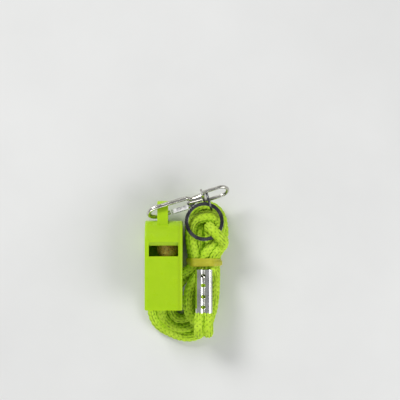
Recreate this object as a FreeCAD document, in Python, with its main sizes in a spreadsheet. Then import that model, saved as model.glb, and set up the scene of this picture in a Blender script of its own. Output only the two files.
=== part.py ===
"""Pea whistle with a swivel hook, split ring and a tied hank of cord, as a parametric document.

Millimetres, +Z up. The whistle lies window up with its mouthpiece towards -Y and the hank beside
and under it. The origin is the bottom centre of the box around the whistle and its metal fittings.
"""
import FreeCAD, Part
import math
import os

from FreeCAD import Placement, Rotation, Vector

CELLS = {
    "shift_x": 5.315, "shift_y": 21.135,  # from the drawing's origin to the row's
    # whistle
    "barrel_rad": 9.5, "barrel_x": -24.3, "barrel_y": -18.6, "whistle_wide": 16.6,
    "wall": 1.6, "cover_thick": 1.5, "cover_gap": 0.02,
    "mouth_tip_y": -48.4, "mouth_under_root": 11.2, "mouth_under_tip": 12.6,
    "window_near_y": -20.0, "window_far_y": -24.75, "windway_wide": 12.9,
    "windway_low": 15.3, "windway_high": 17.5, "edge_round": 0.7, "cover_round": 0.7,
    "lug_thick": 4.7, "lug_x": -16.5, "lug_rad": 5.3, "lug_hole_rad": 2.1,
    "lug_y": -5.7, "lug_hole_y": -6.5, "pea_rad": 4.7, "pea_orbit": 2.9,
    # hook, in its own plane: first across the page, then away from its gate
    "hook_turn": 17.2, "hook_lean": 58.0, "hook_wire_rad": 0.95, "hook_gap": 7.4,
    "hook_nose": -2.0, "hook_tip": 3.6, "neck_start": 13.2, "neck_end": 18.6,
    "neck_rad": 1.9, "neck_root_rad": 1.35, "swivel_level": 4.3, "heel_long": 2.7,
    "heel_thick": 1.7, "gate_wide": 2.2, "gate_thick": 0.5, "gate_low": -0.45, "gate_pivot": 1.0,
    "strap_long": 2.8, "strap_wide": 2.6, "strap_back": 1.7, "cheek_thick": 0.35,
    "rivet_rad": 0.6, "rivet_head_rad": 0.95, "stud_rad": 0.9, "stud_head_rad": 1.7,
    "stud_deep": 2.8, "running_gap": 0.06, "fit_gap": 0.02,
    # bail, link and split ring
    "bail_start": 18.9, "bail_end": 31.4, "bail_half": 3.6, "bail_wire_rad": 0.75,
    "bail_plate": 0.9, "bail_plate_wide": 3.6,
    "link_rad": 4.3, "link_wire_rad": 0.55, "link_along": 21.3, "link_side": -0.1,
    "link_height": 12.3, "ring_x": 1.9, "ring_y": -9.5, "ring_level": 13.6,
    "ring_rad": 7.8, "ring_wide": 1.6, "ring_high": 1.5,
    # cord, band and ferrule
    "cord_rad": 2.1, "hank_low": 0.0, "hank_shoulder": 10.8, "hank_high": 12.6,
    "arch_rad": 4.7, "waist_left": -5.2, "waist_right": 8.7,
    "band_y": -27.6, "band_wide": 3.6, "band_thick": 0.9,
    "ferrule_x": 1.65, "ferrule_top": -30.7, "ferrule_long": 19.1, "ferrule_level": 14.8,
    "ferrule_wall": 0.4, "lobe_rad": 2.0, "lobe_step": 3.6,
}

doc = FreeCAD.newDocument("whistle_lanyard")
sheet = doc.addObject("Spreadsheet::Sheet", "sizes")
for row, (alias, value) in enumerate(CELLS.items(), start=1):
    sheet.set(f"A{row}", alias)
    sheet.set(f"B{row}", str(value))
    sheet.setAlias(f"B{row}", alias)
doc.recompute()
NODES = []


def size(alias):
    """A driving dimension, read back from the sheet."""
    return float(sheet.get(alias))


def bind(thing, **rules):
    """Ties properties to the sheet: each rule's bare aliases become references to it."""
    for key, rule in rules.items():
        for alias in sorted(CELLS, key=len, reverse=True):
            rule = rule.replace(f"[{alias}]", f"<<sizes>>.{alias}")
        thing.setExpression(key.replace("__", "."), rule)


def at(thing, across, along, up):
    """Places a thing by three rules."""
    bind(thing, Placement__Base__x=across, Placement__Base__y=along, Placement__Base__z=up)


def primitive(kind, name, rotation=None, **rules):
    """A Part primitive whose sizes follow the sheet."""
    thing = doc.addObject(kind, name)
    if rotation:
        thing.Placement.Rotation = rotation
    bind(thing, **rules)
    return thing


def joined(kind, name, base, tool):
    """Part::Cut, Part::Fuse or Part::Common of two objects."""
    thing = doc.addObject(kind, name)
    thing.Base, thing.Tool = base, tool
    return thing


def node(thing, label):
    """Names a thing as one of the part's nodes, to be written out."""
    thing.Label = label
    NODES.append(thing)
    return thing


def feature(label, shape, placement=None):
    """A node made from a finished shape."""
    thing = doc.addObject("Part::Feature", label)
    thing.Shape = shape
    thing.Placement = placement or Placement()
    return node(thing, label)


def shifted():
    """The row's frame, as a placement of things drawn about the drawing's origin."""
    return Placement(Vector(size("shift_x"), size("shift_y"), 0), Rotation())


# ---------------------------------------------------------------- the whistle
ACROSS = Rotation(Vector(0, 1, 0), 90)  # turns a cylinder's axis from +Z to +X
BARREL = ("[shift_x] + [barrel_x]", "[shift_y] + [barrel_y]", "[barrel_rad]")


def outline_sketch(body, name, start):
    """The whistle's side view: the barrel's circle run into the flat-topped mouthpiece."""
    sketch = body.newObject("Sketcher::SketchObject", name)
    plane = [f for f in body.Origin.OriginFeatures if f.Role == "YZ_Plane"][0]
    sketch.AttachmentSupport, sketch.MapMode = [(plane, "")], "FlatFace"
    bind(sketch, AttachmentOffset__Base__z=start)
    rad, centre_y = size("barrel_rad"), size("shift_y") + size("barrel_y")
    tip = size("shift_y") + size("mouth_tip_y")
    root = size("mouth_under_root")
    centre = Vector(centre_y, rad, 0)
    root_y = centre_y - math.sqrt(rad ** 2 - (root - rad) ** 2)
    low_angle = math.atan2(root - rad, root_y - centre_y) - 2 * math.pi
    circle = Part.Circle(centre, Vector(0, 0, 1), rad)
    sketch.addGeometry(Part.ArcOfCircle(circle, low_angle, math.pi / 2))
    points = [Vector(centre_y, 2 * rad, 0), Vector(tip, 2 * rad, 0),
              Vector(tip, size("mouth_under_tip"), 0), Vector(root_y, root, 0)]
    for a, b in zip(points, points[1:]):
        sketch.addGeometry(Part.LineSegment(a, b))
    return sketch


def outline_body(name, start, thick):
    body = doc.addObject("PartDesign::Body", name)
    sketch = outline_sketch(body, name + "_outline", start)
    pad = body.newObject("PartDesign::Pad", name + "_pad")
    pad.Profile = sketch
    bind(pad, Length=thick)
    return body


def lug():
    """The rounded tab behind the barrel. Its hole lies near the barrel."""
    ear = primitive("Part::Cylinder", "lug_ear", ACROSS, Radius="[lug_rad]", Height="[lug_thick]")
    at(ear, "[shift_x] + [lug_x] - [lug_thick] / 2", "[shift_y] + [lug_y]", "[barrel_rad]")
    web = primitive("Part::Box", "lug_web", Length="[lug_thick]", Width="8 + [wall]",
                    Height="2 * [lug_rad]")
    at(web, "[shift_x] + [lug_x] - [lug_thick] / 2", "[shift_y] + [lug_y] - 8 - [wall]",
       "[barrel_rad] - [lug_rad]")
    return joined("Part::Fuse", "lug", ear, web)


def hollow():
    """The tools that open the whistle: chamber, window with its sloping lip, windway and lug hole."""
    chamber = primitive("Part::Cylinder", "chamber", ACROSS, Radius="[barrel_rad] - [wall]",
                        Height="[whistle_wide]")
    at(chamber, BARREL[0] + " + [wall]", BARREL[1], BARREL[2])
    side = "[shift_x] + [barrel_x] + ([whistle_wide] - [windway_wide]) / 2"
    window = primitive("Part::Box", "window", Length="[windway_wide]",
                       Width="[window_near_y] - [window_far_y]", Height="[barrel_rad]")
    at(window, side, "[shift_y] + [window_far_y]", "[barrel_rad] + 3")
    lip = primitive("Part::Box", "lip_slope", Rotation(Vector(1, 0, 0), 38),
                    Length="[windway_wide]", Width="4", Height="3")
    at(lip, side, "[shift_y] + [window_near_y] - 0.05", "[windway_high] + 0.15")
    windway = primitive("Part::Box", "windway", Length="[windway_wide]",
                        Width="[window_near_y] - [mouth_tip_y]",
                        Height="[windway_high] - [windway_low]")
    at(windway, side, "[shift_y] + [mouth_tip_y] - 1", "[windway_low]")
    hole = primitive("Part::Cylinder", "lug_hole", ACROSS, Radius="[lug_hole_rad]",
                     Height="[lug_thick] + 2")
    at(hole, "[shift_x] + [lug_x] - [lug_thick] / 2 - 1", "[shift_y] + [lug_hole_y]",
       "[barrel_rad]")
    tools = doc.addObject("Part::MultiFuse", "openings")
    tools.Shapes = [chamber, window, lip, windway, hole]
    return tools


def rounded(name, base, pick, radius):
    """Fillets the edges of base that pick accepts, leaving base as it was if none is accepted."""
    doc.recompute()
    chosen = [n for n, edge in enumerate(base.Shape.Edges, start=1) if pick(edge)]
    fillet = doc.addObject("Part::Fillet", name)
    fillet.Base = base
    fillet.Edges = [(n, radius, radius) for n in chosen]
    return fillet


def on_side(x, tolerance=0.01):
    """Accepts an edge that lies in the plane across the whistle at x."""
    return lambda edge: abs(edge.BoundBox.XMin - x) + abs(edge.BoundBox.XMax - x) < tolerance


left = size("shift_x") + size("barrel_x")
right = left + size("whistle_wide")
shell = outline_body("whistle_shell", BARREL[0], "[whistle_wide] - [cover_thick]")
shell = rounded("shell_round", shell, on_side(left), size("edge_round"))
shell = joined("Part::Fuse", "shell_and_lug", shell, lug())
node(joined("Part::Cut", "whistle_body_cut", shell, hollow()), "whistle_body")

plate = outline_body("cover_plate", BARREL[0] + " + [whistle_wide] - [cover_thick] + [cover_gap]",
                     "[cover_thick] - [cover_gap]")
node(rounded("cover_round", plate, on_side(right), size("cover_round")), "side_cover")

pea = primitive("Part::Sphere", "pea_ball", Radius="[pea_rad]")
at(pea, "[shift_x] + [barrel_x] + [whistle_wide] / 2 + 1.6",
   "[shift_y] + [barrel_y] - [pea_orbit]", "[barrel_rad]")
node(pea, "pea")


# ---------------------------------------------------------------- swept wires
def path_edges(spans):
    """Edges from spans of points: a pair is a straight run, a triple is an arc."""
    return [(Part.LineSegment if len(span) == 2 else Part.Arc)(*span).toShape() for span in spans]


def tube(spans, radius):
    """A closed round solid swept along a path of tangent spans."""
    path = Part.Wire(path_edges(spans))
    first = path.OrderedEdges[0]
    start, way = first.valueAt(first.FirstParameter), first.tangentAt(first.FirstParameter)
    profile = Part.Wire(Part.Circle(start, way, radius).toShape())
    return path.makePipeShell([profile], True, True).removeSplitter()


def rounded_route(points, ratio=0.45):
    """Runs joined by tangent arcs, each arc's radius ratio of its shorter run over tan(turn / 2)."""
    spans, here, radii = [], points[0], []
    for a, b, c in zip(points, points[1:], points[2:]):
        into, out = (b - a), (c - b)
        cut = ratio * min(into.Length, out.Length)
        into.normalize()
        out.normalize()
        turn = into.getAngle(out)
        p, q = b - into * cut, b + out * cut
        middle = (out - into)
        middle.normalize()
        radius = cut / math.tan(turn / 2)
        centre = b + middle * (radius / math.cos(turn / 2))
        spans += [(here, p), (p, centre - middle * radius, q)]
        radii.append(round(radius, 2))
        here = q
    spans.append((here, points[-1]))
    return spans, radii


# ---------------------------------------------------------------- the hook
def hook_placement():
    """The hook's own plane, stood on the lug hole: x along the hook, y from the gate to the spine."""
    turn, lean = math.radians(size("hook_turn")), math.radians(size("hook_lean"))
    along = Vector(math.cos(turn), math.sin(turn), 0)
    away = Vector(-math.sin(turn) * math.cos(lean), math.cos(turn) * math.cos(lean), math.sin(lean))
    place = Placement()
    place.Rotation = Rotation(along, away, along.cross(away), "ZXY")
    place.Base = Vector(size("shift_x") + size("lug_x"), size("shift_y") + size("lug_hole_y"),
                        size("barrel_rad"))
    return place


HOOK = hook_placement()


def hook_shape():
    """The bent hook with its flared neck, drilled for the swivel stud and slit for the gate."""
    gap, rad, level = size("hook_gap"), size("hook_wire_rad"), size("swivel_level")
    nose, tip, start, end = (size(a) for a in ("hook_nose", "hook_tip", "neck_start", "neck_end"))
    spine_end = Vector(start - 1.2, gap, 0)
    bend = tube([(Vector(tip, 0, 0), Vector(nose, 0, 0)),
                 (Vector(nose, 0, 0), Vector(nose - gap / 2, gap / 2, 0), Vector(nose, gap, 0)),
                 (Vector(nose, gap, 0), spine_end)], rad)
    slope = tube([(spine_end, Vector(start + 1.4, level + 0.4, 0))], rad)
    knuckle = Part.makeSphere(rad, spine_end)
    neck = Part.makeCone(size("neck_root_rad"), size("neck_rad"), end - start,
                         Vector(start, level, 0), Vector(1, 0, 0))
    thick = size("heel_thick")
    heel = Part.makeBox(size("heel_long"), level - 1.0, thick,
                        Vector(start - 0.75, 0.45, -thick / 2))
    hook = bend.multiFuse([slope, knuckle, neck, heel]).removeSplitter()
    pivot = Part.makeCylinder(size("rivet_rad"), 6, Vector(start + 0.25, size("gate_pivot"), -3),
                              Vector(0, 0, 1))
    bore = Part.makeCylinder(size("stud_rad") + size("running_gap"), 9,
                             Vector(end - 2.6, level, 0), Vector(1, 0, 0))
    pocket = Part.makeCylinder(size("stud_head_rad") - 0.25, 1.6,
                               Vector(end - 3.4, level, 0), Vector(1, 0, 0))
    return hook.cut(bore).cut(pocket).cut(pivot)


def gate_shape():
    """A sprung leaf from the tip to the heel, with a cheek each side of the heel for its rivet."""
    wide, thick, low = size("gate_wide"), size("gate_thick"), size("gate_low")
    pivot_x, near = size("neck_start") + 0.25, size("hook_tip") + 0.5
    leaf = Part.makeBox(pivot_x - 1.5 - near, thick, wide, Vector(near, low, -wide / 2))
    long, half, cheek = size("strap_long"), size("strap_wide") / 2, size("cheek_thick")
    back = pivot_x - size("strap_back")
    strap = Part.makeBox(long, thick, 2 * half, Vector(back, low, -half))
    cheeks = [Part.makeBox(long, size("gate_pivot") - low + 1, cheek, Vector(back, low, side))
              for side in (-half, half - cheek)]
    hole = Part.makeCylinder(size("rivet_rad"), 6, Vector(pivot_x, size("gate_pivot"), -3),
                             Vector(0, 0, 1))
    return leaf.multiFuse([strap] + cheeks).removeSplitter().cut(hole)


def rivet_shape():
    """The gate's hinge rivet: a shank through heel and cheeks with a domed head at each end."""
    rad, centre = size("rivet_rad"), Vector(size("neck_start") + 0.25, size("gate_pivot"), 0)
    half = size("strap_wide") / 2 + 0.05
    shank = Part.makeCylinder(rad - size("fit_gap"), 2 * half, centre - Vector(0, 0, half),
                              Vector(0, 0, 1))
    heads = [Part.makeCone(size("rivet_head_rad"), rad, 0.35,
                           centre + Vector(0, 0, side * (half - 0.01)), Vector(0, 0, side))
             for side in (-1, 1)]
    return shank.multiFuse(heads)


def stud_shape():
    """The swivel stud: a headed pin through the neck and the bail's base, spread at its far end."""
    level, end, rad = size("swivel_level"), size("neck_end"), size("stud_rad")
    ahead = Vector(1, 0, 0)
    plate_end = size("bail_start") + size("bail_plate")
    deep = size("stud_deep")
    shank = Part.makeCylinder(rad, plate_end + 0.4 - end + deep, Vector(end - deep, level, 0), ahead)
    head = Part.makeCylinder(size("stud_head_rad") - 0.35, 0.5,
                             Vector(end - deep - 0.5, level, 0), ahead)
    far = Part.makeCone(size("stud_head_rad"), 1.0, 0.6, Vector(plate_end + 0.03, level, 0), ahead)
    return shank.multiFuse([head, far])


def bail_shape():
    """A U of wire closed by a drilled base plate across the stud."""
    level, half, rad = size("swivel_level"), size("bail_half"), size("bail_wire_rad")
    start, end = size("bail_start"), size("bail_end")
    turn = end - half - rad
    low, high = level - half, level + half
    loop = tube([(Vector(start + 0.6, low, 0), Vector(turn, low, 0)),
                 (Vector(turn, low, 0), Vector(turn + half, level, 0), Vector(turn, high, 0)),
                 (Vector(turn, high, 0), Vector(start + 0.6, high, 0))], rad)
    wide = size("bail_plate_wide")
    base = Part.makeBox(size("bail_plate"), 2 * half + 2 * rad, wide,
                        Vector(start, low - rad, -wide / 2))
    base = base.makeFillet(0.7, [e for e in base.Edges if abs(e.tangentAt(0).x) > 0.9])
    bore = Part.makeCylinder(size("stud_rad") + size("fit_gap"), 5, Vector(start - 1, level, 0),
                             Vector(1, 0, 0))
    return loop.fuse(base).removeSplitter().cut(bore)


feature("hook_body", hook_shape(), HOOK)
feature("hook_gate", gate_shape(), HOOK)
feature("gate_rivet", rivet_shape(), HOOK)
feature("swivel_stud", stud_shape(), HOOK)
feature("swivel_bail", bail_shape(), HOOK)


# ---------------------------------------------------------------- link and split ring
def link_ring():
    """The round link that joins the bail's lower leg to the split ring."""
    turn = math.radians(size("hook_turn"))
    along = Vector(math.cos(turn), math.sin(turn), 0)
    side = Vector(-math.sin(turn), math.cos(turn), 0)
    torus = Part.makeTorus(size("link_rad"), size("link_wire_rad"))
    place = Placement()
    place.Rotation = Rotation(Vector(0, 0, 1), along)
    place.Base = HOOK.Base + along * size("link_along") + side * size("link_side")
    place.Base.z = size("link_height")
    feature("link_ring", torus, place)


def split_ring():
    """Two close turns of flat wire as one piece, with a groove between them and a step at each end."""
    rad, wide, high = size("ring_rad"), size("ring_wide"), size("ring_high")
    turns = []
    for low in (-high / 2, 0.0):
        outer = Part.makeCylinder(rad + wide / 2, high / 2, Vector(0, 0, low))
        turn = outer.cut(Part.makeCylinder(rad - wide / 2, high / 2, Vector(0, 0, low)))
        rims = [e for e in turn.Edges if e.BoundBox.ZLength < 1e-6]
        turns.append(turn.makeFillet(0.22, rims))
    ring = turns[0].fuse(turns[1])
    for side in (-1, 1):
        notch = Part.makeBox(wide + 1, 0.3, high, Vector(rad - wide / 2 - 0.5, side * 1.1,
                                                        0.02 if side > 0 else -high - 0.02))
        notch.rotate(Vector(), Vector(0, 0, 1), 205)
        ring = ring.cut(notch)
    place = shifted()
    place.Base += Vector(size("ring_x"), size("ring_y"), size("ring_level"))
    feature("split_ring", ring, place)


link_ring()
split_ring()


# ---------------------------------------------------------------- the cord
# The hank's outline in plan, from the barrel's side round by its top, right and bottom.
HANK_PLAN = [(-4.6, -24.5), (-6.2, -17.5), (-7.0, -10.5), (-5.2, -4.6), (-1.9, -1.3), (2.6, -0.6),
             (8.3, -2.6), (11.7, -7.4), (12.6, -13.6), (11.9, -19.2), (9.2, -25.6), (8.4, -31.0),
             (8.5, -39.0), (7.2, -47.4), (5.9, -54.0), (3.1, -60.0), (-2.3, -62.2), (-7.8, -63.4),
             (-13.4, -61.2), (-19.4, -58.8), (-23.0, -54.6), (-23.8, -48.6), (-22.6, -42.0),
             (-17.0, -36.2), (-9.4, -32.4), (-4.9, -30.0)]
# What lies over the mouthpiece's side of the hank: the plan of its highest layer.
CROWN_PLAN = [(-4.4, -26.0), (-6.0, -17.5), (-6.6, -11.0), (-4.6, -6.4), (-0.6, -4.4), (4.0, -4.6),
              (9.0, -6.0), (11.4, -10.0), (11.9, -15.4), (11.0, -20.4), (8.8, -26.0), (8.0, -31.0),
              (8.1, -39.0), (6.9, -46.6), (4.4, -49.8), (-0.4, -51.0), (-4.4, -48.8), (-5.6, -42.0),
              (-5.0, -33.0)]


def layer(plan, low, high):
    """A closed smooth outline through the plan's points, raised from low to high."""
    curve = Part.BSplineCurve()
    curve.interpolate([Vector(across, along, low) for across, along in plan], PeriodicFlag=True)
    face = Part.Face(Part.Wire(curve.toShape()))
    return face.extrude(Vector(0, 0, high - low))


def band_rim(inner, spare=0.0):
    """A rounded block across the hank: the rubber band's outside, or the waist that it grips."""
    grow = 0 if inner else size("band_thick")
    gap = 0.04 if inner else 0.0
    low, high = size("band_thick") - grow + gap, size("hank_high") + grow - gap
    left, right = size("waist_left") - grow + gap, size("waist_right") + grow - gap
    near, wide = size("band_y") - size("band_wide") / 2 - spare, size("band_wide") + 2 * spare
    box = Part.makeBox(right - left, wide, high - low, Vector(left, near, low))
    along_hank = [e for e in box.Edges if abs(e.tangentAt(0).y) > 0.9]
    return box.makeFillet(3.2 + grow, along_hank)


def hank():
    """The hank's outer shape: a broad base, a crown of loops and a waist under the band."""
    base = layer(HANK_PLAN, size("hank_low"), size("hank_shoulder"))
    crown = layer(CROWN_PLAN, size("hank_shoulder") - 0.5, size("hank_high"))
    solid = base.fuse(crown).removeSplitter()
    near, wide = size("band_y") - size("band_wide") / 2 - 0.1, size("band_wide") + 0.2
    slab = Part.makeBox(60, wide, 30, Vector(-30, near, -5))
    solid = solid.cut(slab.cut(band_rim(True, spare=1.0)))
    link_room = Part.makeBox(14.6, 7, 8, Vector(-5.6, -5.9, 6.6))  # for the link and the neck
    return solid.cut(link_room)


def arch():
    """Where the cord comes up through the split ring, over its rim and back into the hank."""
    turn, half, level = math.radians(-45), size("arch_rad"), size("hank_high")
    out = Vector(math.cos(turn), math.sin(turn), 0)
    rim = Vector(size("ring_x"), size("ring_y"), 0) + out * size("ring_rad")
    foot, spring = Vector(0, 0, level), Vector(0, 0, level + 0.8)
    top = rim + Vector(0, 0, spring.z + half)
    a, b = rim - out * half, rim + out * half
    return [(a + foot, a + spring), (a + spring, top, b + spring), (b + spring, b + foot)]


def tail(side):
    """A cord end: out of the ferrule's lower mouth and down into the foot of the hank."""
    across = size("ferrule_x") + side * size("lobe_step") / 2
    mouth, level = size("ferrule_top") - size("ferrule_long"), size("ferrule_level")
    route = [Vector(across, mouth, level), Vector(across, mouth - 3.6, level),
             Vector(across, mouth - 6.4, size("hank_shoulder") + 1.9),
             Vector(across, mouth - 6.4, size("hank_shoulder"))]
    return rounded_route(route)


def ferrule():
    """Two lobes of sheet metal pressed round the cord's ends, pierced along the valley."""
    rad, wall, step = size("lobe_rad"), size("ferrule_wall"), size("lobe_step")
    top, long, level = size("ferrule_top"), size("ferrule_long"), size("ferrule_level")
    down = Vector(0, -1, 0)

    def lobes(radius, start, length):
        pair = [Part.makeCylinder(radius, length, Vector(size("ferrule_x") + side * step / 2,
                                                         start, level), down)
                for side in (-1, 1)]
        return pair[0].fuse(pair[1])

    web = Part.makeBox(step, long, 1.5, Vector(size("ferrule_x") - step / 2, top - long, level - 0.75))
    outer = lobes(rad, top, long).fuse(web)
    for along in (0.14, 0.36, 0.62, 0.86):
        spike = Part.makeCone(0.15, 1.15, 2.2, Vector(size("ferrule_x") - 0.2, top - along * long,
                                                      level - 0.2), Vector(0, 0, 1))
        outer = outer.cut(spike)
    return outer.cut(lobes(rad - wall, top + 1, long + 2))


def cord_ends():
    """The two ends as the ferrule squeezes them."""
    rad, step = size("lobe_rad") - size("ferrule_wall") - 0.03, size("lobe_step")
    start = size("ferrule_top") - 2.4
    long = size("ferrule_long") - 2.4
    return [Part.makeCylinder(rad, long, Vector(size("ferrule_x") + side * step / 2, start,
                                                size("ferrule_level")), Vector(0, -1, 0))
            for side in (-1, 1)]


def rubber_band():
    """A flat band round the waist, with the pinched nub where it is doubled."""
    nub = Part.makeCone(1.2, 0.35, 1.5, Vector(size("waist_right") + size("band_thick") - 0.3,
                                               size("band_y"), 8.6), Vector(1, 0, -0.1))
    return band_rim(False).cut(band_rim(True)).fuse(nub)


def check_tube(name, solid, spans, radii):
    """Compares a tube's volume with its section times its length, and prints its bends."""
    length = Part.Wire(path_edges(spans)).Length
    ratio = solid.Volume / (math.pi * size("cord_rad") ** 2 * length)
    print(f"{name}: length {length:.1f} mm, radii {radii}, volume ratio {ratio:.4f}")


arch_spans = arch()
arch_solid = tube(arch_spans, size("cord_rad"))
check_tube("cord_arch", arch_solid, arch_spans, [size("arch_rad")])
feature("cord_hank", hank(), shifted())
feature("cord_arch", arch_solid, shifted())
for name, side in (("cord_tail_a", -1), ("cord_tail_b", 1)):
    spans, radii = tail(side)
    solid = tube(spans, size("cord_rad"))
    check_tube(name, solid, spans, radii)
    feature(name, solid, shifted())
feature("cord_ends", Part.makeCompound(cord_ends()), shifted())
feature("ferrule", ferrule(), shifted())
feature("rubber_band", rubber_band(), shifted())


# ---------------------------------------------------------------- writing
def write():
    doc.recompute()
    broken = [o.Name for o in doc.Objects if {"Invalid", "Error"} & set(o.State)]
    broken += [o.Label for o in NODES if o.Shape.isNull() or not o.Shape.isValid()]
    if broken:
        raise RuntimeError(f"failed: {broken}")
    os.makedirs("parts", exist_ok=True)
    for thing in NODES:
        thing.Shape.exportStep(f"parts/{thing.Label}.step")
        box = thing.Shape.optimalBoundingBox(False)
        print(f"{thing.Label:14} {len(thing.Shape.Solids)} solid {thing.Shape.Volume:9.1f} mm3  "
              f"x {box.XMin:7.2f} {box.XMax:7.2f}  y {box.YMin:7.2f} {box.YMax:7.2f}  "
              f"z {box.ZMin:6.2f} {box.ZMax:6.2f}")


write()
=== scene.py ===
import math

import bmesh
import bpy
import numpy as np
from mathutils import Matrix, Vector


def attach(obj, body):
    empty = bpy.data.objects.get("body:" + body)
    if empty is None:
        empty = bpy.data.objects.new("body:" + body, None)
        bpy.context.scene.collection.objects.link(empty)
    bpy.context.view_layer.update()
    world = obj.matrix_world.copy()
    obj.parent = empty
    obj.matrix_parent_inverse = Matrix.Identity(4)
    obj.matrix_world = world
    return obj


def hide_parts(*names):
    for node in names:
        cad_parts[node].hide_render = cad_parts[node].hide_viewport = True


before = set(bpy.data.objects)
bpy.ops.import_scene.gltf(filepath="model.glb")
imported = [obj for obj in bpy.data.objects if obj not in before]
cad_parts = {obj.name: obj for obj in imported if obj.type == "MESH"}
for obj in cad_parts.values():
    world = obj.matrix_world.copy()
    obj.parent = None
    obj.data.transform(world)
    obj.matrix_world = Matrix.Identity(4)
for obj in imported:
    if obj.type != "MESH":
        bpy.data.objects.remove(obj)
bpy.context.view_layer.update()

MM = 0.001
BODY = "lanyard"

# ------------------------------------------------------------ sizes
CORD_WIDE = 4.2 * MM
CORD_RADIUS = CORD_WIDE / 2
SQUEEZED = 0.74  # the cord's width inside the ferrule, as a share of its own
PAGE = Vector((5.315, 21.135, 0.0))  # from the drawing's origin to the row's, as in the CAD
FERRULE_X, LOBE_STEP, FERRULE_LEVEL = 1.65, 3.6, 14.8
END_A, END_B = FERRULE_X - LOBE_STEP / 2, FERRULE_X + LOBE_STEP / 2
FERRULE_TOP, MOUTH_Y = -30.7, -49.8
HANK_TOP = 12.6  # the ferrule lies on the hank, above this level

# ------------------------------------------------------------ the cord's route, in mm on the page
# Each pass is a given list: up or down through the waist, and round a loop at one end.
ROUTE = [
    # out of the ferrule's first lobe, round under it and up to the waist
    (END_A, -34.6, FERRULE_LEVEL), (END_A, -41.5, FERRULE_LEVEL), (END_A, -47.8, FERRULE_LEVEL),
    (END_A, -52.4, FERRULE_LEVEL), (-0.4, -57.4, 14.8), (-0.5, -59.4, 10.6), (-0.6, -57.4, 6.4),
    (-0.7, -53.0, 6.4), (-0.6, -47.5, 6.4), (-0.2, -41.0, 6.4), (0.1, -34.5, 6.5),
    (0.15, -29.8, 6.7),
    # the innermost upper loop
    (0.15, -25.4, 6.7), (-0.3, -20.5, 8.2), (-0.7, -15.5, 8.6), (0.3, -11.4, 7.0),
    (4.4, -10.7, 4.2), (6.2, -14.6, 3.2), (4.4, -20.4, 3.0), (1.75, -25.4, 3.3),
    # the innermost lower loop
    (1.75, -29.8, 3.3), (0.9, -36.0, 2.7), (-1.4, -43.0, 2.5), (-3.0, -49.6, 2.5),
    (-6.6, -53.8, 2.5), (-12.0, -52.8, 2.5), (-13.6, -45.8, 2.5), (-10.6, -38.6, 2.7),
    (-5.4, -33.4, 2.7), (-1.9, -29.8, 3.3),
    # the outermost upper loop, on the floor
    (-1.9, -25.4, 3.3), (-3.8, -20.0, 2.7), (-4.7, -13.5, 2.5), (-4.2, -6.6, 2.5),
    (0.2, -2.8, 2.5), (5.6, -2.8, 2.5), (9.6, -7.0, 2.5), (10.4, -13.5, 2.5),
    (8.8, -20.0, 2.7), (5.4, -25.4, 3.3),
    # the middle lower loop
    (5.4, -29.8, 3.3), (5.2, -36.0, 2.7), (3.0, -43.5, 2.5), (1.2, -50.5, 2.5),
    (-2.8, -56.4, 2.5), (-8.2, -58.0, 2.7), (-13.6, -56.4, 2.8), (-17.4, -51.6, 3.8),
    (-16.8, -44.6, 4.8), (-13.0, -38.4, 5.4), (-7.8, -33.4, 5.8), (-3.1, -29.8, 6.6),
    # the middle upper loop
    (-3.1, -25.4, 6.6), (-4.1, -20.0, 6.4), (-4.5, -13.5, 6.4), (-3.1, -8.4, 6.4),
    (1.4, -6.9, 6.4), (6.0, -6.9, 6.4), (9.6, -9.0, 6.4), (10.7, -14.4, 6.4),
    (9.4, -20.2, 6.5), (6.65, -25.4, 6.7),
    # the outermost lower loop, under the mouthpiece
    (6.65, -29.8, 6.7), (6.8, -36.0, 5.4), (6.3, -43.5, 3.2), (4.9, -51.0, 2.5),
    (2.8, -57.6, 2.5), (-1.6, -60.9, 2.5), (-7.4, -61.4, 2.5), (-13.8, -59.0, 2.5),
    (-19.6, -55.4, 2.7), (-21.6, -49.5, 2.8), (-20.8, -42.5, 4.4), (-15.8, -37.0, 6.8),
    (-9.2, -33.2, 9.2), (-2.9, -30.4, 10.2),
    # the upper loop on top
    (-2.0, -25.4, 10.3), (-3.6, -20.0, 10.3), (-4.2, -14.0, 10.3), (-2.8, -9.4, 10.3),
    (2.0, -7.6, 10.3), (7.0, -8.0, 10.3), (9.6, -11.0, 10.3), (8.2, -15.5, 10.3),
    (4.8, -20.5, 10.3), (1.75, -25.4, 10.3),
    # the lower loop on top, round inside the ends' turn
    (1.75, -29.8, 10.3), (-1.4, -33.6, 10.4), (-4.6, -38.8, 10.4), (-5.6, -45.6, 10.4),
    (-4.6, -50.8, 10.5), (-1.2, -54.4, 10.6), (3.5, -54.0, 10.6), (5.4, -49.2, 10.4),
    (6.4, -42.5, 10.4), (6.6, -35.5, 10.4), (5.4, -29.8, 10.3),
    # up beside the hank and over the split ring's rim
    (5.4, -25.4, 10.3), (7.8, -22.6, 10.3), (10.1, -20.3, 10.8), (10.45, -18.3, 13.6),
    (10.2, -17.9, 17.2), (7.3, -14.9, 18.7), (4.4, -12.0, 17.2), (4.09, -11.69, 13.0),
    (4.3, -13.8, 9.2), (4.0, -19.0, 7.4), (3.4, -25.4, 6.7),
    # back down and into the ferrule's second lobe
    (3.4, -29.8, 6.7), (3.2, -36.0, 6.5), (3.1, -43.0, 6.4), (3.3, -48.0, 6.4),
    (3.5, -53.0, 6.4), (3.6, -57.4, 6.4), (3.6, -59.4, 10.6), (3.6, -57.4, 14.8),
    (END_B, -52.4, FERRULE_LEVEL), (END_B, -47.8, FERRULE_LEVEL), (END_B, -41.5, FERRULE_LEVEL),
    (END_B, -34.6, FERRULE_LEVEL),
]


def page(point):
    """A point on the page, in mm, as a place in the scene, in metres."""
    return (Vector(point) + PAGE) * MM


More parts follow.
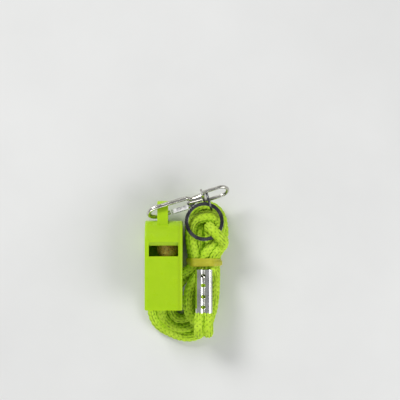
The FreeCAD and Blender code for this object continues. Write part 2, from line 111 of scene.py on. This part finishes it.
def route_curve():
    """The cord's own line: one NURBS spline through the listed control points."""
    curve = bpy.data.curves.new("cord_line", "CURVE")
    curve.dimensions = "3D"
    curve.resolution_u = 40
    spline = curve.splines.new("NURBS")
    spline.points.add(len(ROUTE) - 1)
    for control, point in zip(spline.points, ROUTE):
        control.co = (*page(point), 1.0)
    spline.order_u = 3
    spline.use_endpoint_u = True
    return curve


def line_points(curve):
    """Points along a curve that has no bevel, in order."""
    holder = bpy.data.objects.new(curve.name, curve)
    bpy.context.scene.collection.objects.link(holder)
    bpy.context.view_layer.update()
    graph = bpy.context.evaluated_depsgraph_get()
    mesh = bpy.data.meshes.new_from_object(holder.evaluated_get(graph))
    points = np.array([v.co[:] for v in mesh.vertices])
    bpy.data.meshes.remove(mesh)
    bpy.data.objects.remove(holder)
    return points


# ------------------------------------------------------------ sweeping a section along a line
def evenly(points, step):
    """The same line again with its points one step apart, and how far along each one is."""
    along = np.concatenate(([0.0], np.cumsum(np.linalg.norm(np.diff(points, axis=0), axis=1))))
    count = max(2, round(along[-1] / step) + 1)
    wanted = np.linspace(0.0, along[-1], count)
    return np.column_stack([np.interp(wanted, along, points[:, k]) for k in range(3)]), wanted


def smoothed(values, reach):
    """A running mean that keeps the ends."""
    kernel = np.ones(2 * reach + 1) / (2 * reach + 1)
    padded = np.pad(values, (reach, reach), mode="edge")
    return np.convolve(padded, kernel, mode="valid")


def carried_sides(points):
    """Two directions across the line at each point, carried along it without twist."""
    along = np.gradient(points, axis=0)
    along /= np.linalg.norm(along, axis=1)[:, None]
    first = np.zeros_like(points)
    start = np.cross(along[0], (0.0, 0.0, 1.0))
    first[0] = start / np.linalg.norm(start)
    for i in range(1, len(points)):
        carried = first[i - 1] - along[i] * (first[i - 1] @ along[i])
        first[i] = carried / np.linalg.norm(carried)
    return first, np.cross(along, first)


def skin_faces(rings, sides, closed=False):
    """Quads between rings of points in order. A closed skin joins its last ring to its first."""
    pairs = [(i * sides, (i + 1) % rings * sides) for i in range(rings if closed else rings - 1)]
    return [(a + k, a + (k + 1) % sides, b + (k + 1) % sides, b + k)
            for a, b in pairs for k in range(sides)]


def new_piece(name, verts, faces):
    """A smooth-shaded object in the scene."""
    mesh = bpy.data.meshes.new(name)
    mesh.from_pydata(verts, [], faces)
    mesh.update()
    for face in mesh.polygons:
        face.use_smooth = True
    piece = bpy.data.objects.new(name, mesh)
    bpy.context.scene.collection.objects.link(piece)
    return piece


# ------------------------------------------------------------ the knitted cord
SIDES = 32
RING_STEP = 0.27 * MM
COLUMNS = 5  # ribs of stitches round the cord
STITCH_LONG = 2.1 * MM
STITCH_DEEP = 0.62 * MM
STITCH_SLANT = 0.62  # how far a stitch's legs trail its tip, as a share of its length
STITCH_GROOVE = 0.25  # height of the groove between two stitches of a rib
SWAY, SWAY_LONG = 0.05, 46 * MM  # the ribs wander to each side, in turns of the cord
TURN_LONG = 0.42  # and wind once round it in this length
SQUEEZE_RINGS = 5  # rings over which the ferrule's squeeze sets in
UV_LONG = 10 * MM


def hump(share, power):
    """A rounded rise from 0 at the ends of a span to 1 at its middle."""
    return np.clip(1.0 - (2.0 * share - 1.0) ** 2, 0.0, 1.0) ** power


def stitch_height(turn, along):
    """Height of the knit, 0 in the creases to 1 on the yarn: ribs of V-shaped stitches."""
    rib = (turn * COLUMNS) % 1.0
    leg = np.abs(rib - 0.5) * 2.0
    phase = (along / STITCH_LONG + STITCH_SLANT * leg) % 1.0
    return hump(leg, 0.5) * (STITCH_GROOVE + (1.0 - STITCH_GROOVE) * hump(phase, 0.6))


def cord_radius(points):
    """The cord's radius along its line, less where the ferrule squeezes it."""
    y = points[:, 1] / MM - PAGE.y
    inside = (y > MOUTH_Y) & (y < FERRULE_TOP) & (points[:, 2] > HANK_TOP * MM)
    return CORD_RADIUS * smoothed(np.where(inside, SQUEEZED, 1.0), SQUEEZE_RINGS)


def add_knit_layers(mesh, height, turn, along):
    """Stores the knit's height as a colour, which the cord's finish uses as the mask for its
    painted crease shade, and its turn and length as a UV map.
    """
    values = np.ones((height.size, 4), dtype=np.float32)
    values[:, 0] = height.reshape(-1)
    knit = mesh.color_attributes.new("knit", "FLOAT_COLOR", "POINT")
    knit.data.foreach_set("color", values.reshape(-1))
    corners = np.empty(len(mesh.loops), dtype=np.int32)
    mesh.loops.foreach_get("vertex_index", corners)
    u = turn.reshape(-1)[corners]
    v = np.broadcast_to(along[:, None], turn.shape).reshape(-1)[corners] / UV_LONG
    uv = mesh.uv_layers.new(name="length")
    uv.data.foreach_set("uv", np.column_stack([u, v]).reshape(-1).astype(np.float32))


def knitted_cord(name, line):
    """The cord's piece with its stitches as real relief, and the points of its centreline."""
    points, along = evenly(line, RING_STEP)
    across, up = carried_sides(points)
    turn = np.arange(SIDES) / SIDES
    wander = SWAY * np.sin(along / SWAY_LONG) + along / TURN_LONG
    knit_turn = turn[None, :] + wander[:, None]
    height = stitch_height(knit_turn, along[:, None])
    reach = cord_radius(points)[:, None] + STITCH_DEEP * (height - 0.5)
    angle = (turn * math.tau)[None, :, None]
    outward = np.cos(angle) * across[:, None, :] + np.sin(angle) * up[:, None, :]
    verts = (points[:, None, :] + reach[:, :, None] * outward).reshape(-1, 3)
    rings = len(points)
    ends = [tuple(reversed(range(SIDES))), tuple(range((rings - 1) * SIDES, rings * SIDES))]
    piece = new_piece(name, verts.tolist(), skin_faces(rings, SIDES) + ends)
    add_knit_layers(piece.data, height, knit_turn, along)
    return piece, points


# ------------------------------------------------------------ the rubber band round the waist
WAIST_Y = -27.6
# where the cord's passes cross the waist, by their level
WAIST_ROWS = {3.3: (-1.9, 1.75, 5.4), 6.7: (-3.1, 0.15, 3.4, 6.65), 10.3: (-1.9, 1.75, 5.4)}
BAND_WIDE, BAND_THICK, BAND_ROUND = 2.1, 0.55, 0.22
BAND_STEP = 0.3
BAND_GAP = 0.12  # between the cord and the band's inner lap
LAP_SHIFT, LAP_LIFT = 0.82, 0.26  # how far the laps part sideways, and rise where they cross
CROSSING = math.radians(62)  # where the laps cross, round the hank


def waist_hull(clear):
    """A taut line round the cord's passes through the waist, as far outside them as clear."""
    passes = [(x, z) for z, row in WAIST_ROWS.items() for x in row]
    reach = CORD_RADIUS / MM + clear
    points = []
    for angle in np.linspace(0.0, math.tau, 361)[:-1]:
        out = (math.cos(angle), math.sin(angle))
        x, z = max(passes, key=lambda c: c[0] * out[0] + c[1] * out[1])
        points.append((x + out[0] * reach, z + out[1] * reach))
    return np.array(points + points[:1])


def band_section():
    """The band's rounded oblong section: across it, and through its thickness."""
    section = []
    for side_w, side_t in ((1, 1), (-1, 1), (-1, -1), (1, -1)):
        for step in range(4):
            turn = math.atan2(side_t, side_w) + math.radians(-45 + 30 * step)
            section.append((side_w * (BAND_WIDE / 2 - BAND_ROUND) + BAND_ROUND * math.cos(turn),
                            side_t * (BAND_THICK / 2 - BAND_ROUND) + BAND_ROUND * math.sin(turn)))
    return section


def wound_band(name):
    """One rubber band wound twice round the hank, crossing over itself on top."""
    hull = waist_hull(BAND_GAP + BAND_THICK / 2)
    line, along = evenly(np.column_stack([hull, np.zeros(len(hull))]), BAND_STEP)
    around = along[:-1] / along[-1]
    line = line[:-1, :2]
    section = band_section()
    rings = []
    for lap in range(2):
        for i, (x, z) in enumerate(line):
            ahead, behind = line[(i + 1) % len(line)], line[i - 1]
            run = (ahead - behind) / np.linalg.norm(ahead - behind)
            out = np.array((run[1], -run[0]))
            lap_turn = math.pi * (around[i] + lap) - CROSSING
            shift = LAP_SHIFT * math.cos(lap_turn)
            lift = LAP_LIFT * (1.0 + math.sin(lap_turn))
            # the band's width wavers a little, slowly and quickly
            waver = 1.0 + 0.05 * math.sin(9 * lap_turn) + 0.03 * math.sin(23 * lap_turn)
            rings.append([(x + out[0] * (t + lift), WAIST_Y + shift + w * waver,
                           z + out[1] * (t + lift)) for w, t in section])
    verts = [tuple(page(p)) for ring in rings for p in ring]
    piece = new_piece(name, verts, skin_faces(len(rings), len(section), closed=True))
    facing = bmesh.new()
    facing.from_mesh(piece.data)
    bmesh.ops.recalc_face_normals(facing, faces=facing.faces)
    facing.to_mesh(piece.data)
    facing.free()
    return piece


# ------------------------------------------------------------ materials
def srgb(r, g, b):
    """A colour given as 0-255 sRGB, as linear light."""
    shares = (r / 255, g / 255, b / 255)
    linear = [c / 12.92 if c <= 0.04045 else ((c + 0.055) / 1.055) ** 2.4 for c in shares]
    return (*linear, 1.0)


WHITE = srgb(255, 255, 255)


class Nodes:
    """A material's node tree, with short ways to add what these finishes need."""

    def __init__(self, name, **sockets):
        self.material = bpy.data.materials.new(name)
        self.material.use_nodes = True
        self.tree = self.material.node_tree
        self.shader = self.tree.nodes["Principled BSDF"]
        for socket, value in sockets.items():
            self.shader.inputs[socket.replace("_", " ")].default_value = value

    def add(self, kind, **settings):
        node = self.tree.nodes.new(kind)
        for key, value in settings.items():
            if key in node.inputs:
                node.inputs[key].default_value = value
            elif key.replace("_", " ") in node.inputs:
                node.inputs[key.replace("_", " ")].default_value = value
            else:
                setattr(node, key, value)
        return node

    def link(self, source, target):
        self.tree.links.new(source, target)

    def place(self, stretch=(1.0, 1.0, 1.0)):
        """Object coordinates, stretched."""
        coords = self.add("ShaderNodeTexCoord")
        mapping = self.add("ShaderNodeMapping")
        mapping.inputs["Scale"].default_value = stretch
        self.link(coords.outputs["Object"], mapping.inputs["Vector"])
        return mapping.outputs["Vector"]

    def noise(self, scale, detail=3.0, rough=0.55, stretch=(1.0, 1.0, 1.0)):
        """Cloudy noise in the object's own coordinates."""
        node = self.add("ShaderNodeTexNoise", Scale=scale, Detail=detail, Roughness=rough)
        self.link(self.place(stretch), node.inputs["Vector"])
        return node.outputs["Fac"]

    def spread(self, value, low, high, to_low=0.0, to_high=1.0):
        """A value taken from one range to another."""
        node = self.add("ShaderNodeMapRange")
        for key, number in (("From Min", low), ("From Max", high),
                            ("To Min", to_low), ("To Max", to_high)):
            node.inputs[key].default_value = number
        self.link(value, node.inputs["Value"])
        return node.outputs["Result"]

    def ramp(self, value, *stops):
        """Colours over a value: each stop is a place and a colour."""
        node = self.add("ShaderNodeValToRGB")
        elements = node.color_ramp.elements
        while len(elements) < len(stops):
            elements.new(0.5)
        for element, (place, colour) in zip(elements, stops):
            element.position = place
            element.color = colour
        self.link(value, node.inputs["Fac"])
        return node.outputs["Color"]

    def multiplied(self, factor, first, second):
        """The first colour darkened by the second, by a share given as factor."""
        node = self.add("ShaderNodeMix", data_type="RGBA", blend_type="MULTIPLY")
        for value, key in ((factor, 0), (first, 6), (second, 7)):
            if hasattr(value, "links"):
                self.link(value, node.inputs[key])
            else:
                node.inputs[key].default_value = value
        return node.outputs[2]

    def sum(self, first, second, share=1.0):
        """first + second * share."""
        node = self.add("ShaderNodeMath", operation="MULTIPLY_ADD")
        self.link(second, node.inputs[0])
        node.inputs[1].default_value = share
        self.link(first, node.inputs[2])
        return node.outputs[0]

    def colour(self, value):
        self.link(value, self.shader.inputs["Base Color"])

    def roughness(self, value):
        self.link(value, self.shader.inputs["Roughness"])

    def bump(self, height, strength, distance):
        """Fine relief too small to model."""
        node = self.add("ShaderNodeBump", Strength=strength, Distance=distance)
        self.link(height, node.inputs["Height"])
        self.link(node.outputs["Normal"], self.shader.inputs["Normal"])


def cord_material():
    """Fluorescent knitted polyester: bright yarn, painted shade in the creases, fine fibres and a
    fuzz sheen.
    """
    m = Nodes("cord_knit", Roughness=0.72, Sheen_Weight=0.08, Sheen_Roughness=0.4,
              Specular_IOR_Level=0.3)
    m.shader.inputs["Sheen Tint"].default_value = srgb(214, 240, 96)
    knit = m.add("ShaderNodeAttribute", attribute_name="knit")
    separate = m.add("ShaderNodeSeparateColor")
    m.link(knit.outputs["Color"], separate.inputs["Color"])
    height = separate.outputs["Red"]
    patches = m.noise(220.0, 3.0)
    fibres = m.noise(2600.0, 2.0, 0.7, stretch=(1.0, 1.0, 1.6))
    yarn = m.ramp(patches, (0.3, srgb(186, 226, 38)), (0.7, srgb(206, 240, 66)))
    # painted shade: the yarn is darkened towards the knit's creases, standing in for the shade
    # that falls between the stitches
    crease_shade = m.ramp(height, (0.12, srgb(104, 128, 40)), (0.62, WHITE))
    base = m.multiplied(0.9, yarn, crease_shade)
    streak = m.ramp(fibres, (0.32, srgb(205, 210, 190)), (0.62, WHITE))
    m.colour(m.multiplied(0.6, base, streak))
    m.roughness(m.spread(fibres, 0.3, 0.7, 0.62, 0.85))
    m.bump(m.sum(fibres, patches, 0.5), 0.55, 0.00012)
    return m.material


def whistle_material():
    """Moulded fluorescent plastic, with a fine texture, flow marks and light handling wear."""
    m = Nodes("whistle_moulded", Roughness=0.3, Subsurface_Weight=0.35, Subsurface_Scale=0.0035,
              Coat_Weight=0.06, Coat_Roughness=0.15, Specular_IOR_Level=0.22)
    m.shader.inputs["Subsurface Radius"].default_value = (1.0, 1.0, 0.2)
    flow = m.noise(90.0, 4.0, 0.6, stretch=(0.6, 1.0, 1.0))
    grain = m.noise(1900.0, 3.0, 0.6)
    m.colour(m.ramp(flow, (0.28, srgb(164, 204, 22)), (0.72, srgb(174, 212, 30))))
    m.roughness(m.spread(m.noise(300.0, 4.0), 0.3, 0.75, 0.24, 0.42))
    m.bump(m.sum(grain, flow, 0.8), 0.12, 0.0001)
    return m.material


def cork_material():
    """Cork granules pressed together, with dark pores."""
    m = Nodes("cork_granules", Roughness=0.85)
    cells = m.add("ShaderNodeTexVoronoi", Scale=900.0)
    m.link(m.place(), cells.inputs["Vector"])
    granule = m.add("ShaderNodeSeparateColor")
    m.link(cells.outputs["Color"], granule.inputs["Color"])
    base = m.ramp(granule.outputs["Red"], (0.0, srgb(222, 172, 72)), (1.0, srgb(252, 220, 120)))
    pores = m.ramp(m.noise(1500.0, 4.0, 0.7), (0.36, srgb(60, 34, 18)), (0.46, WHITE))
    m.colour(m.multiplied(0.9, base, pores))
    m.bump(cells.outputs["Distance"], 0.6, 0.0002)
    return m.material


def metal_material(name, light, dark, rough, streaks=(1.0, 1.0, 6.0), scratch=0.06):
    """Plated wire or sheet: tone and gloss vary, with fine drawn marks and worn spots."""
    m = Nodes(name, Metallic=1.0, Roughness=rough)
    cloud = m.noise(260.0, 4.0, 0.6)
    marks = m.noise(1400.0, 3.0, 0.65, stretch=streaks)
    tone = m.ramp(cloud, (0.3, srgb(*dark)), (0.6, srgb(*light)))
    worn = m.ramp(marks, (0.3, srgb(190, 188, 180)), (0.42, WHITE))
    m.colour(m.multiplied(0.7, tone, worn))
    m.roughness(m.spread(m.sum(cloud, marks, 0.8), 0.5, 1.3, rough * 0.6, rough * 1.7))
    m.bump(marks, scratch, 0.00004)
    return m.material


def rubber_material():
    """An amber rubber band, a little cloudy and dusty."""
    m = Nodes("band_amber", Roughness=0.55, Subsurface_Weight=0.2, Subsurface_Scale=0.001)
    m.shader.inputs["Subsurface Radius"].default_value = (1.0, 0.8, 0.2)
    cloud = m.noise(420.0, 4.0, 0.6)
    lines = m.noise(900.0, 2.0, 0.5, stretch=(0.3, 3.0, 0.3))
    m.colour(m.ramp(cloud, (0.3, srgb(178, 176, 24)), (0.7, srgb(196, 192, 48))))
    m.roughness(m.spread(cloud, 0.3, 0.7, 0.42, 0.66))
    m.bump(m.sum(lines, cloud, 0.5), 0.35, 0.0001)
    return m.material


def floor_material():
    """Pale paper with a faint mottle."""
    m = Nodes("floor_paper", Roughness=0.8, Specular_IOR_Level=0.2)
    mottle = m.noise(14.0, 4.0)
    m.colour(m.ramp(mottle, (0.3, srgb(222, 222, 220)), (0.7, srgb(228, 228, 226))))
    return m.material


def dress(node, material):
    """Gives a carried-over CAD node its finish."""
    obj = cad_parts[node]
    for slot in obj.material_slots:
        slot.material = material


# ------------------------------------------------------------ pieces
cord, cord_path = knitted_cord("lanyard_cord", line_points(route_curve()))
cord.data.materials.append(cord_material())
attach(cord, BODY)
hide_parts("cord_hank", "cord_arch", "cord_tail_a", "cord_tail_b", "cord_ends")
band = wound_band("wound_rubber_band")
band.data.materials.append(rubber_material())
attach(band, BODY)
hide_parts("rubber_band")

steel = metal_material("hook_nickel", (226, 224, 214), (170, 168, 158), 0.17)
bright = metal_material("ferrule_chrome", (246, 246, 242), (214, 214, 208), 0.12, scratch=0.006)
# painted dark reflection: the rings' nickel is the hook's plating with a darkened base colour,
# standing in for the dark surroundings it mirrors
painted_dark_nickel = metal_material("ring_nickel", (118, 118, 122), (62, 62, 66), 0.2)
spring = metal_material("gate_spring_steel", (200, 200, 198), (140, 140, 138), 0.3)
plastic = whistle_material()
for node in ("whistle_body", "side_cover"):
    dress(node, plastic)
dress("pea", cork_material())
for node in ("hook_body", "gate_rivet", "swivel_stud", "swivel_bail"):
    dress(node, steel)
dress("hook_gate", spring)
# the rings take the nickel darkened as painted dark reflection
for node in ("link_ring", "split_ring"):
    dress(node, painted_dark_nickel)
dress("ferrule", bright)

# ------------------------------------------------------------ floor, light and camera
CENTRE = Vector((PAGE.x, PAGE.y, 0.0)) * MM  # what the camera looks straight down at


def floor(size=1.6):
    """The square that the object lies on."""
    mesh = bpy.data.meshes.new("floor")
    half = size / 2
    mesh.from_pydata([(-half, -half, 0), (half, -half, 0), (half, half, 0), (-half, half, 0)],
                     [], [(0, 1, 2, 3)])
    obj = bpy.data.objects.new("floor", mesh)
    bpy.context.scene.collection.objects.link(obj)
    obj.data.materials.append(floor_material())


def soft_light(name, offset, size, power, target=CENTRE):
    """A rectangular lamp that faces the target."""
    lamp = bpy.data.lights.new(name, "AREA")
    lamp.shape = "RECTANGLE"
    lamp.size, lamp.size_y = size
    lamp.energy = power
    obj = bpy.data.objects.new(name, lamp)
    obj.location = target + Vector(offset)
    obj.rotation_euler = (target - obj.location).to_track_quat("-Z", "Y").to_euler()
    bpy.context.scene.collection.objects.link(obj)


def studio_air(colour, strength):
    """Even light from all round."""
    world = bpy.data.worlds.new("studio")
    world.use_nodes = True
    background = world.node_tree.nodes["Background"]
    background.inputs["Color"].default_value = colour
    background.inputs["Strength"].default_value = strength
    bpy.context.scene.world = world


def camera(height=0.7, lens=140.0):
    """A long lens that looks straight down."""
    data = bpy.data.cameras.new("camera")
    data.sensor_width, data.lens = 36.0, lens
    obj = bpy.data.objects.new("camera", data)
    obj.location = CENTRE + Vector((0, 0, height))
    bpy.context.scene.collection.objects.link(obj)
    bpy.context.scene.camera = obj


floor()
soft_light("key", (-0.5, 0.55, 0.55), (0.4, 0.3), 5.9)
soft_light("fill", (0.65, -0.3, 0.5), (0.5, 0.5), 3.6)
soft_light("low", (-0.1, -0.7, 0.35), (0.6, 0.2), 1.4)
studio_air(srgb(236, 238, 242), 0.36)
bpy.context.scene.view_settings.view_transform = "Standard"  # keeps the lime's full strength
camera()
